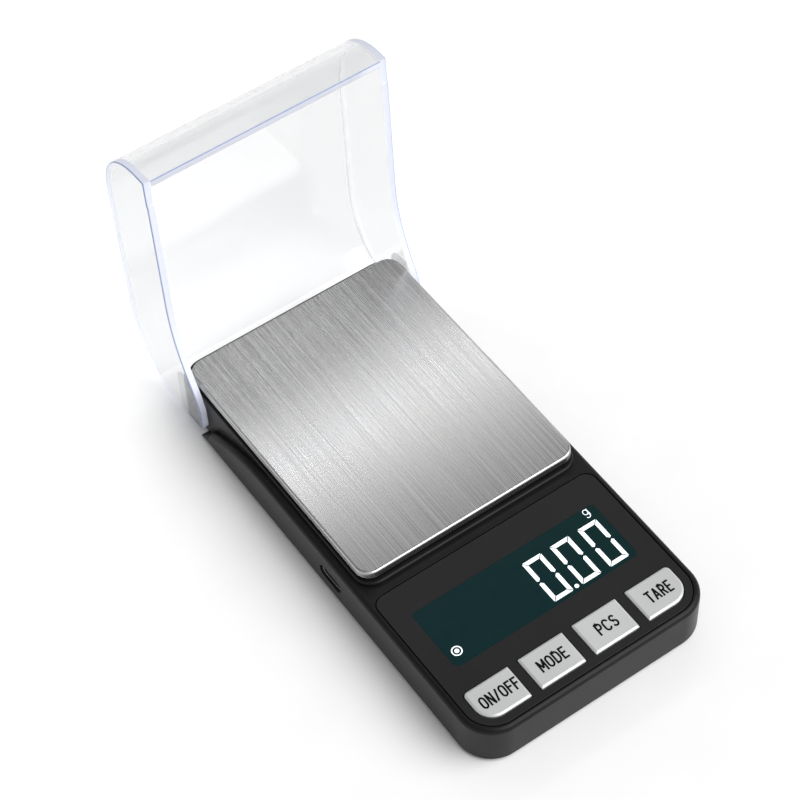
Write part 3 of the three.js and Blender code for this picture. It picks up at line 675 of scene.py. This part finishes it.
def bottom_cover():
    inset = WALL + GAP
    front_radii = [FRONT_RADIUS - inset] * 2 + [0.5, 0.5]
    rear_radii = (0.5, 0.5, REAR_RADIUS - inset, REAR_RADIUS - inset)
    front_outline = (cover_low.x, cover_high.x, cover_low.y, WIDE_END_Y)
    plate = slab("cover", lambda i: rounded(*front_outline, front_radii, i), 0, COVER_THICKNESS, 0, 0.25)
    tail = slab(
        "tail",
        lambda i: rounded(*centred(TRAY_HALF - inset), 20, cover_high.y, rear_radii, i),
        0.01,
        COVER_THICKNESS - 0.01,
        0,
        0.25,
    )
    weld(plate, tail)
    screws = [box_mm(f"case_screw_{i}") for i in range(1, 5)] + [box_mm(f"base_screw_{i}") for i in (1, 2)]
    for index, (low, high) in enumerate(screws):
        x, y, radius = middle(low, high)
        radius += 0.35
        mouth = [(radius + 0.25, BELOW), (radius + 0.25, -0.01), (radius, 0.25)]
        seat = [(0, BELOW), *mouth, (radius, SCREW_SEAT), (0, SCREW_SEAT)]
        cut(plate, lathe(f"seat_{index}", x, y, seat))
    for index in range(1, 5):
        x, y, radius = middle(*box_mm(f"foot_{index}"))
        cut(plate, lathe(f"foot_seat_{index}", x, y, plug(radius + GAP, 0.5)))
    _, y, _ = middle(*box_mm("overload_stop"))
    cut(plate, lathe("stop_hole", 0, y, plug(STOP_HOLE_RADIUS, 5)))
    plate.name = "underside"
    return dress(smooth(plate), "base", "case_black", looks["case_black"], "bottom_cover")


def plug(radius, top):
    """The profile of a plain cutter from below the underside up to a height."""
    return [(0, BELOW), (radius, BELOW), (radius, top), (0, top)]


def rubber_feet():
    for index in range(1, 5):
        name = f"foot_{index}"
        low, high = box_mm(name)
        x, y, radius = middle(low, high)
        dish = [(0, 0.25), (1.6, 0.2), (2.0, 0.02), (2.4, 0)]
        edge = [(3.3, 0), (3.8, 0.1), (4.1, 0.35), (radius, 0.7)]
        profile = [(r, low.z + up) for r, up in dish + edge] + [(radius, high.z), (0, high.z)]
        foot = lathe(f"pad_{index}", x, y, profile, 48)
        dress(smooth(foot, 40), "base", "foot_rubber", looks["foot_rubber"], name)


def cross_screw(node):
    """A pan head with a cross recess, facing down, and its shaft."""
    low, high = box_mm(node)
    x, y, radius = middle(low, high)
    z, shaft, head_height = low.z, radius * 0.5, 1.1
    profile = [(0, z), (radius * 0.55, z + 0.02), (radius * 0.85, z + 0.14), (radius, z + 0.42)]
    profile += [(radius, z + head_height), (shaft, z + head_height), (shaft, high.z - shaft), (0, high.z)]
    head = lathe(f"{node}_detail", x, y, profile, 36)
    arm, half = radius * 0.55, radius * 0.13
    for index, (dx, dy) in enumerate(((arm, half), (half, arm))):
        cut(head, brick(f"slot_{index}", (x - dx, y - dy, z - 1), (x + dx, y + dy, z + 0.6 + 0.05 * index)))
    dress(smooth(head, 40), "base", "screw_steel", looks["screw_steel"], node)


# ---- panel, display and keys ---------------------------------------------------------------------
def control_panel():
    edge = 0.12
    sheet = slab(
        "panel",
        lambda i: rounded(panel_low.x, panel_high.x, panel_low.y, panel_high.y, PANEL_RADII, i, 14),
        panel_low.z,
        panel_high.z,
        edge,
    )
    holes = [slab(f"panel_hole_{name}", key_outline(name, GAP), 5, 20) for name in KEY_NAMES]
    cut(sheet, *holes, slab("panel_window", window_outline(), 5, 20))
    dress(smooth(sheet), "base", "panel_black", looks["panel_black"], "control_panel")


def window_outline():
    radii = (2.2, 1.6, 1.0, 1.0)
    return lambda inset: rounded(*centred(WINDOW_HALF), WINDOW_FRONT_Y, WINDOW_REAR_Y, radii, inset)


def display_pane():
    outline = window_outline()
    pane = slab("display_pane", lambda i: outline(i + 0.03), panel_low.z, RIM_Z - 0.01, 0.02, steps=2)
    dress(smooth(pane), "base", "display", looks["display"])


def flat_polygons(name, polygons, z, thickness=0.03):
    """Thin raised shapes from lists of (x, y) points, as one piece."""
    vertices, faces = [], []
    for points in polygons:
        start, count = len(vertices), len(points)
        vertices += [(x, y, z) for x, y in points] + [(x, y, z + thickness) for x, y in points]
        faces.append(tuple(reversed(range(start, start + count))))
        faces.append(tuple(range(start + count, start + 2 * count)))
        for i in range(count):
            j = (i + 1) % count
            faces.append((start + i, start + j, start + count + j, start + count + i))
    return new_piece(name, vertices, faces)


def zero_segments(x0, x1, y0, y1, stroke=1.2, slit=0.17):
    """The six lit segments of a nought, with mitred ends and thin dark slits between them."""
    ym = (y0 + y1) / 2
    s, h = stroke, slit
    top = [(x0 + h, y1), (x1 - h, y1), (x1 - s - h, y1 - s), (x0 + s + h, y1 - s)]
    bottom = [(x0 + h, y0), (x1 - h, y0), (x1 - s - h, y0 + s), (x0 + s + h, y0 + s)]
    segments = [top, bottom]
    for side, x in ((1, x0), (-1, x1)):
        for far, sign in ((y1, 1), (y0, -1)):
            near = ym + sign * 0.25
            segments.append(
                [
                    (x, far - sign * h),
                    (x + side * s, far - sign * (s + h)),
                    (x + side * s, near + sign * s * 0.55),
                    (x + side * s * 0.45, near),
                    (x, near + sign * s * 0.3),
                ]
            )
    return segments


def display_marks():
    z = RIM_Z - 0.02
    polygons = []
    for x0 in DIGIT_LEFTS:
        polygons += zero_segments(x0, x0 + DIGIT_WIDTH, DIGIT_LOW_Y, DIGIT_HIGH_Y)
    polygons.append(arc(POINT_X, DIGIT_LOW_Y + 0.55, 0.62, 0, 345, 23))
    digits = flat_polygons("display_digits", polygons, z)
    dress(digits, "base", "display", digit_light)
    ring_center, ring_outer, stroke = (-26.3, -46.05), 1.5, 0.34
    band = []
    for i in range(24):
        a0, a1 = 15 * i, 15 * (i + 1)
        outer = arc(*ring_center, ring_outer, a0, a1, 1)
        inner = arc(*ring_center, ring_outer - stroke, a1, a0, 1)
        band.append(outer + inner)
    band.append(arc(*ring_center, 0.65, 0, 345, 23))
    mark = flat_polygons("display_ready_mark", band, z)
    dress(mark, "base", "display", digit_light)
    unit = lettering("display_unit", "g", 26.3, -31.7, 1.55, 2.2, z + 0.02, 0.2)
    dress(unit, "base", "display", digit_light)


def bowl(cx, cy, rx, ry, start, end, steps=10):
    """A stretch of an ellipse, for a letter's round stroke."""
    return [(cx + rx * x, cy + ry * y) for x, y in arc(0, 0, 1, start, end, steps)]


# Each letter's strokes on a unit square, as (across, up) points.
STROKES = {
    "O": [bowl(0.5, 0.7, 0.5, 0.3, 0, 180) + bowl(0.5, 0.3, 0.5, 0.3, 180, 360) + [(1, 0.7)]],
    "N": [[(0, 0), (0, 1)], [(1, 0), (1, 1)], [(0, 1.05), (1, -0.05)]],
    "/": [[(0, -0.05), (1, 1.05)]],
    "F": [[(0, 0), (0, 1), (1, 1)], [(0, 0.52), (0.85, 0.52)]],
    "M": [[(0, 0), (0, 1)], [(1, 0), (1, 1)], [(0, 1.05), (0.5, 0.25)], [(0.5, 0.25), (1, 1.05)]],
    "D": [
        [(0, 0), (0, 1), (0.45, 1)]
        + bowl(0.45, 0.6, 0.55, 0.4, 90, 0)
        + bowl(0.45, 0.4, 0.55, 0.4, 0, -90)
        + [(0, 0)]
    ],
    "E": [[(1, 0), (0, 0), (0, 1), (1, 1)], [(0, 0.52), (0.85, 0.52)]],
    "P": [[(0, 0), (0, 1), (0.55, 1)] + bowl(0.55, 0.73, 0.45, 0.27, 90, -90) + [(0, 0.46)]],
    "C": [bowl(0.5, 0.7, 0.5, 0.3, 15, 180) + bowl(0.5, 0.3, 0.5, 0.3, 180, 345)],
    "S": [bowl(0.5, 0.76, 0.46, 0.24, 20, 270) + bowl(0.5, 0.26, 0.5, 0.26, 90, -160)],
    "T": [[(0, 1), (1, 1)], [(0.5, 1), (0.5, 0)]],
    "A": [[(0, -0.06), (0.5, 1.06)], [(0.5, 1.06), (1, -0.06)], [(0.2, 0.3), (0.8, 0.3)]],
    "R": [
        [(0, 0), (0, 1), (0.55, 1)] + bowl(0.55, 0.74, 0.42, 0.26, 90, -90) + [(0, 0.48)],
        [(0.5, 0.48), (1, -0.05)],
    ],
    "g": [bowl(0.5, 0.6, 0.5, 0.4, 0, 360, 20), [(1, 1), (1, 0)] + bowl(0.5, 0, 0.5, 0.35, 0, -150)],
}

LETTER_WIDTHS = {"/": 0.7, "F": 0.8, "E": 0.8, "P": 0.9, "M": 1.15, "A": 1.1} | dict.fromkeys("NSTR", 0.95)


def ribbon(points, stroke):
    """The two sides of one drawn stroke, mitred where it turns and squared off where it ends."""
    line = [Vector(p) for p in points]
    closed = (line[0] - line[-1]).length < 1e-4
    if closed:
        line.pop()
    else:
        for end, inner in ((0, 1), (-1, -2)):
            outward = (line[end] - line[inner]).normalized()
            if min(abs(outward.x), abs(outward.y)) < 0.1:
                line[end] += outward * stroke / 2
    sides = ([], [])
    for i, point in enumerate(line):
        before = point - line[i - 1] if i or closed else line[1] - point
        after = line[(i + 1) % len(line)] - point if i < len(line) - 1 or closed else point - line[i - 1]
        before, after = before.normalized(), after.normalized()
        bisector = (before + after).normalized()
        reach = stroke / 2 / max(bisector.dot(after), 0.42)
        normal = Vector((-bisector.y, bisector.x)) * reach
        sides[0].append(point + normal)
        sides[1].append(point - normal)
    return sides, closed


def lettering(name, text, cx, cy, width, height, z, stroke, space=0.8, thickness=0.04):
    """A word in thin raised strokes; width and height are over the strokes' outsides."""
    shares = [LETTER_WIDTHS.get(letter, 1) for letter in text]
    unit = (width - stroke - space * (len(text) - 1)) / sum(shares)
    left, bottom, tall = cx - (width - stroke) / 2, cy - (height - stroke) / 2, height - stroke
    vertices, faces = [], []
    for letter, share in zip(text, shares):
        for layer, points in enumerate(STROKES[letter]):
            placed = [(left + u * share * unit, bottom + v * tall) for u, v in points]
            (one, other), closed = ribbon(placed, stroke)
            start, count = len(vertices), len(one)
            top = z + thickness + 0.003 * layer
            vertices += [(*p, h) for side in (one, other) for h in (z - 0.02, top) for p in side]
            low_one, high_one, low_other, high_other = (start + count * k for k in range(4))
            for i in range(count if closed else count - 1):
                j = (i + 1) % count
                faces += [
                    (high_one + i, high_other + i, high_other + j, high_one + j),
                    (low_one + i, low_one + j, low_other + j, low_other + i),
                    (low_one + i, high_one + i, high_one + j, low_one + j),
                    (low_other + i, low_other + j, high_other + j, high_other + i),
                ]
            if not closed:
                end = count - 1
                faces.append((low_one, low_other, high_other, high_one))
                faces.append((low_one + end, high_one + end, high_other + end, low_other + end))
        left += share * unit + space
    return new_piece(name, vertices, faces)


def keys():
    # Each key's word, its width, and how far it sits right of the key's middle.
    words = {
        "on_off": ("ON/OFF", 11.7, 0.7),
        "mode": ("MODE", 8.6, 0.2),
        "pcs": ("PCS", 6.4, 0.4),
        "tare": ("TARE", 7.8, 0.2),
    }
    for name in KEY_NAMES:
        low, high = box_mm(f"button_{name}")
        edge = [(0, low.z), (0, high.z - 0.42), (0.05, high.z - 0.33), (0.52, high.z - 0.03), (0.6, high.z)]
        cap = stack(f"key_{name}", key_outline(name), edge)
        dress(smooth(cap, 25), f"key_{name}", "key_silver", looks["key_silver"], f"button_{name}")
        text, width, shift = words[name]
        x, y, _ = middle(low, high)
        legend = lettering(f"legend_{name}", text, x + shift, y, width, LEGEND_HEIGHT, high.z, LEGEND_STROKE)
        dress(legend, f"key_{name}", "inner_black", key_ink)


# ---- charging socket -----------------------------------------------------------------------------
def charging_socket():
    cy, cz = (usb_low.y + usb_high.y) / 2, (usb_low.z + usb_high.z) / 2
    width, height = usb_high.y - usb_low.y, usb_high.z - usb_low.z
    shell = sideways("socket_shell", stadium(cy, cz, width, height), usb_low.x, usb_high.x)
    bore = stadium(cy, cz, width - 0.6, height - 0.6)
    cut(shell, sideways("socket_bore", bore, usb_low.x - 1, usb_high.x - 0.8))
    bevel_edges(shell, 0.08, 60, 2)
    dress(smooth(shell), "base", "socket_steel", looks["socket_steel"], "usb_c_socket")
    half, thin, pad = 3.3, 0.33, 0.03
    blade_low, blade_high = (usb_low.x + 1, cy - half, cz - thin), (usb_high.x - 0.9, cy + half, cz + thin)
    blade = brick("socket_tongue", blade_low, blade_high)
    bevel_edges(blade, 0.1, 60, 2)
    dress(smooth(blade), "base", "inner_black", looks["inner_black"], "usb_c_tongue")
    pads = []
    for index in range(12):
        y = cy + (index - 5.5) * 0.5
        for z in (cz + thin, cz - thin - pad):
            pads.append(((usb_low.x + 1.3, y - 0.14, z), (usb_low.x + 4.5, y + 0.14, z + pad)))
    vertices, faces = [], []
    for (x0, y0, z0), (x1, y1, z1) in pads:
        start = len(vertices)
        vertices += [(x, y, z) for x in (x0, x1) for y in (y0, y1) for z in (z0, z1)]
        sides = ((0, 1, 3, 2), (4, 6, 7, 5), (0, 4, 5, 1), (2, 3, 7, 6), (0, 2, 6, 4), (1, 5, 7, 3))
        faces += [tuple(start + i for i in side) for side in sides]
    contacts = new_piece("socket_contacts", vertices, faces)
    dress(contacts, "base", "socket_steel", contact_gold)


# ---- platform ------------------------------------------------------------------------------------
def weighing_plate():
    radii = [PLATE_RADIUS] * 4

    def outline(inset):
        return rounded(plate_low.x, plate_high.x, plate_low.y, plate_high.y, radii, inset, 14)

    outside = [(0.12, plate_low.z), (0.03, plate_low.z + 0.04), (0, plate_low.z + 0.12)]
    outside += fillet_levels(plate_high.z, PLATE_FILLET, 8)
    plate = stack("weighing_plate", outline, outside)
    inside = stack("plate_hollow", outline, [(STEEL, plate_low.z - 1), (STEEL, plate_high.z - STEEL)])
    cut(plate, inside)
    brushing = plate.data.uv_layers.new(name="brushing")  # runs along the streaks
    for loop in plate.data.loops:
        co = plate.data.vertices[loop.vertex_index].co
        brushing.data[loop.index].uv = (co.x * 10 + 0.5, co.y * 10 + co.z + 0.3)
    dress(smooth(plate), "platform", "plate_steel", looks["plate_steel"], "platform_plate")


# ---- lid -----------------------------------------------------------------------------------------
def lid_outline():
    """The cheek's outline with the lid closed, as (forward, up) from the hinge."""
    forward, up, radius = NOSE
    edge, step = CHEEK_SWEEP[-1][1], 0.35
    tip = forward + radius
    points = [(tip - 8.5, edge), (tip - 8.3, edge + step), (tip, edge + step)]
    points += arc(forward, up, radius, 0, 90, 28)
    points += arc(SHOULDER[0], SHOULDER[1], SHOULDER[2], 90, math.degrees(SHOULDER_END), 20)
    start, bend, end = Vector(points[-1]), Vector((EAR_REAR, EAR_BEND)), Vector((EAR_REAR, EAR_TOP))
    for i in range(1, 11):
        t = i / 10
        points.append(tuple(start * (1 - t) ** 2 + bend * 2 * t * (1 - t) + end * t * t))
    points += arc(EAR_REAR + EAR_CORNER, CHEEK_SWEEP[0][1] + EAR_CORNER, EAR_CORNER, 180, 270, 10)
    return points + spline(CHEEK_SWEEP, 10)


def skin_outline():
    """The curved panel's section with the lid closed, from its free edge over to the shoulder."""
    forward, up, radius = NOSE
    edge, turn = CHEEK_SWEEP[-1][1], math.degrees(SHOULDER_END)
    outer = [(forward + radius, edge)] + arc(forward, up, radius, 0, 90, 28)
    outer += arc(SHOULDER[0], SHOULDER[1], SHOULDER[2], 90, turn, 20)
    inner = arc(SHOULDER[0], SHOULDER[1], SHOULDER[2] - LID_WALL, turn, 90, 20)
    inner += arc(forward, up, radius - LID_WALL, 90, 0, 28)
    return outer + inner + [(forward + radius - LID_WALL, edge)]


def open_lid(points):
    """Closed-lid (forward, up) points as (y, z) with the lid standing open."""
    c, s = math.cos(LID_OPEN), math.sin(LID_OPEN)
    return [(HINGE.y - f * c + u * s, HINGE.z + f * s + u * c) for f, u in points]


def lid():
    """One clear moulding: a curved panel between two cheeks, its cut edges cloudy with trapped light; dark
    painted shade lines run along its bevels and a painted glow lights the panel's end faces.
    """
    inner, finishes = CASE_HALF - LID_WALL, (looks["lid_clear"], lid_edge, lid_line_painted_shade, lid_seam_painted_glow)
    outline = skin_outline()
    panel = sideways("lid_panel", open_lid(outline), *centred(inner - 0.02))
    ends, shoulder_and_free_edge = (0, 1), (1 + len(outline) // 2, 1 + len(outline))
    # The two end faces take finish 3, the painted glow.
    for index in ends:
        panel.data.polygons[index].material_index = 3
    for index in shoulder_and_free_edge:
        panel.data.polygons[index].material_index = 1
    # The bevels take finish 2, the dark painted shade lines.
    bevel_edges(panel, LID_BEVEL, 60, 2, lambda a, b: abs(a.x - b.x) > 1 and a.z > CASE_HALF, 2)
    dress(smooth(panel, 40), "lid", "lid_clear", finishes, "lid")
    for side, name in ((-1, "left"), (1, "right")):
        walls = sorted((side * inner, side * CASE_HALF))
        cheek = sideways(f"lid_cheek_{name}", open_lid(lid_outline()), *walls)
        for face in list(cheek.data.polygons)[2:]:
            face.material_index = 1
        # The outer bevels take finish 2, the dark painted shade lines.
        bevel_edges(cheek, CHEEK_BEVEL, 60, 2, lambda a, b: min(abs(a.x), abs(b.x)) > CASE_HALF - 0.1, 2)
        dress(smooth(cheek, 40), "lid", "lid_clear", finishes)
        stub_ends = sorted((side * (TRAY_HALF - WALL + 0.5), side * inner))
        stub = sideways(f"lid_stub_{name}", arc(HINGE.y, HINGE.z, STUB_RADIUS, 0, 345, 23), *stub_ends)
        bevel_edges(stub, 0.2, 60, 2)
        dress(smooth(stub), "lid", "lid_clear", lid_grey_see_through)
    hinge_pads()


def hinge_pads():
    """A thin grey, mostly see-through round-cornered patch on each cheek's inner face, round the hinge stub.
    """
    rear, front, low, high = EAR_REAR + 0.6, 11.6, CHEEK_SWEEP[0][1] + 0.5, 7.5
    outline = rounded(rear, front, low, high, (2.5, 0.5, 5, 1.5))
    sweep = spline(CHEEK_SWEEP, 10)
    bounded = [(f, max(u, edge_height(sweep, f) + 0.5)) for f, u in outline]
    for side in (-1, 1):
        inner = side * (CASE_HALF - LID_WALL)
        name = "hinge_pad_left" if side < 0 else "hinge_pad_right"
        pad = sideways(name, open_lid(bounded), *sorted((inner - side * 0.03, inner - side * 0.15)))
        dress(smooth(pad), "lid", "lid_clear", lid_grey_see_through)


def edge_height(line, forward):
    """How high the cheek's lower edge is at a place ahead of the hinge."""
    for (f0, u0), (f1, u1) in zip(line, line[1:]):
        if f0 <= forward <= f1:
            return u0 + (u1 - u0) * (forward - f0) / (f1 - f0)
    return line[0][1]


# ---- camera, floor and light ---------------------------------------------------------------------
def camera_place():
    azimuth, elevation = CAMERA_AZIMUTH, CAMERA_ELEVATION
    level = math.cos(elevation)
    back = Vector((math.sin(azimuth) * level, -math.cos(azimuth) * level, math.sin(elevation)))
    return CAMERA_AIM * MM + back * CAMERA_DISTANCE


def camera():
    data = bpy.data.cameras.new("camera")
    data.lens = CAMERA_LENS
    data.clip_start = 0.05
    holder = bpy.data.objects.new("camera", data)
    bpy.context.scene.collection.objects.link(holder)
    tilt = math.pi / 2 - CAMERA_ELEVATION
    turn = Matrix.Rotation(CAMERA_AZIMUTH, 4, "Z") @ Matrix.Rotation(tilt, 4, "X")
    roll = Matrix.Rotation(CAMERA_ROLL, 4, "Z")
    holder.matrix_world = Matrix.Translation(camera_place()) @ turn @ roll
    bpy.context.scene.camera = holder


def floor():
    foot_low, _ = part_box("foot_1")
    mesh = bpy.data.meshes.new("floor")
    reach = FLOOR_REACH
    corners = ((-reach, -reach), (reach, -reach), (reach, reach), (-reach, reach))
    mesh.from_pydata([(x, y, foot_low.z) for x, y in corners], [], [(0, 1, 2, 3)])
    sheet = bpy.data.objects.new("floor", mesh)
    bpy.context.scene.collection.objects.link(sheet)
    paper = grained("floor_paper", (0.9, 0.9, 0.9), (0.92, 0.92, 0.92), (0.8, 0.9), 0.02, 0.0)
    sheet.data.materials.append(paper)


def studio():
    """Soft overhead light from a pale room, with one long strip that the steel platform mirrors."""
    world = bpy.data.worlds.new("studio")
    world.use_nodes = True
    tree = world.node_tree
    place = tree.nodes.new("ShaderNodeTexCoord")
    axes = tree.nodes.new("ShaderNodeSeparateXYZ")
    tree.links.new(place.outputs["Generated"], axes.inputs["Vector"])
    background = tree.nodes["Background"].inputs["Color"]
    blend_colors(tree, axes.outputs["Z"], ROOM_SIDES, ROOM_TOP, background, 0.1, 0.5)
    bpy.context.scene.world = world
    bpy.context.scene.view_settings.view_transform = "Standard"
    data = bpy.data.lights.new("overhead", "SUN")
    data.energy = OVERHEAD
    data.angle = OVERHEAD_SPREAD
    sun = bpy.data.objects.new("overhead", data)
    bpy.context.scene.collection.objects.link(sun)
    sun.rotation_euler = Vector(OVERHEAD_AIM).to_track_quat("-Z", "Y").to_euler()
    peak = Vector((0, STRIP_PEAK_Y, plate_high.z)) * MM
    sight = (peak - camera_place()).normalized()
    mirrored = Vector((sight.x, sight.y, -sight.z))
    place = peak + mirrored * STRIP_AWAY
    strip = bpy.data.lights.new("strip", "AREA")
    strip.shape = "RECTANGLE"
    strip.size, strip.size_y = STRIP_SIZE
    strip.energy = STRIP
    strip.cycles.use_multiple_importance_sampling = False
    lamp = bpy.data.objects.new("strip", strip)
    bpy.context.scene.collection.objects.link(lamp)
    toward = (peak - place).normalized()
    up = toward.cross(Vector((1, 0, 0))).normalized()
    across = up.cross(toward)
    turn = Matrix((across, up, -toward)).transposed()
    lamp.matrix_world = Matrix.Translation(place) @ turn.to_4x4()


housing()
bottom_cover()
rubber_feet()
for index in range(1, 5):
    cross_screw(f"case_screw_{index}")
for index in (1, 2):
    cross_screw(f"base_screw_{index}")
control_panel()
display_pane()
display_marks()
keys()
charging_socket()
weighing_plate()
lid()
camera()
floor()
studio()

bpy.context.view_layer.update()
